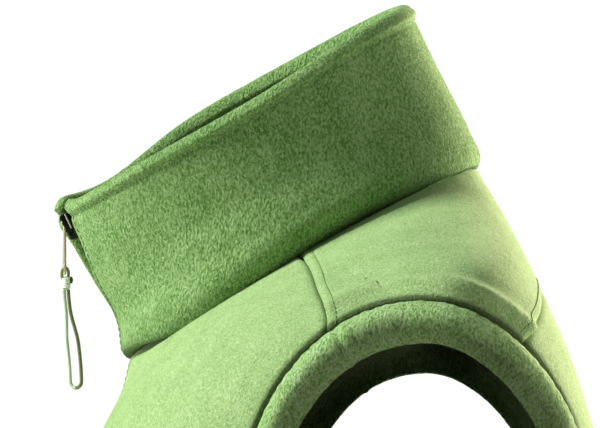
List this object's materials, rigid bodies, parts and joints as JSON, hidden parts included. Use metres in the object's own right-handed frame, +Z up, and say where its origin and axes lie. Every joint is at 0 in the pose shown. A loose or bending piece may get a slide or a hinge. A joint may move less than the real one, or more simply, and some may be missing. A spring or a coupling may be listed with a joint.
{
  "type": "fleece vest",
  "caption": "Sleeveless fleece vest with a full-length front zip, a tall stand collar and bound armholes, in the hollow form it takes when worn.",
  "frame": {"origin": "the middle of the neck seam's ring, where the wearer's neck and shoulders carry the vest", "axes": "+Z up, -Y the way the wearer faces, +X the wearer's left"},
  "size_m": [0.424, 0.2676, 0.7417],
  "materials": {
    "fleece": "matte brushed fleece with a pebbled pile, light green",
    "zip_tape": "woven polyester tape with a moulded coil",
    "slider": "black enamel on die-cast zinc",
    "pull": "dull antique brass",
    "cord": "braided cord, two greens in a spiral"
  },
  "bodies": {
    "vest": {"front_left": "fleece", "front_right": "fleece", "back": "fleece", "yoke": "fleece", "collar": "fleece", "armhole_band_left": "fleece", "armhole_band_right": "fleece", "zip_left": "zip_tape", "zip_right": "zip_tape", "zip_box": "slider", "slider": "slider"},
    "puller": {"pull_tab": "pull", "cord_hitch": "cord", "pull_cord": "cord"}
  },
  "joints": [
    {"name": "pull_tab_hinge", "type": "hinge", "parent": "vest", "child": "puller", "pos_m": [0.01821, -0.1056, 0.01652], "axis": [0.977, 0.2132, 0], "range_deg": [-135, 4]}
  ]
}
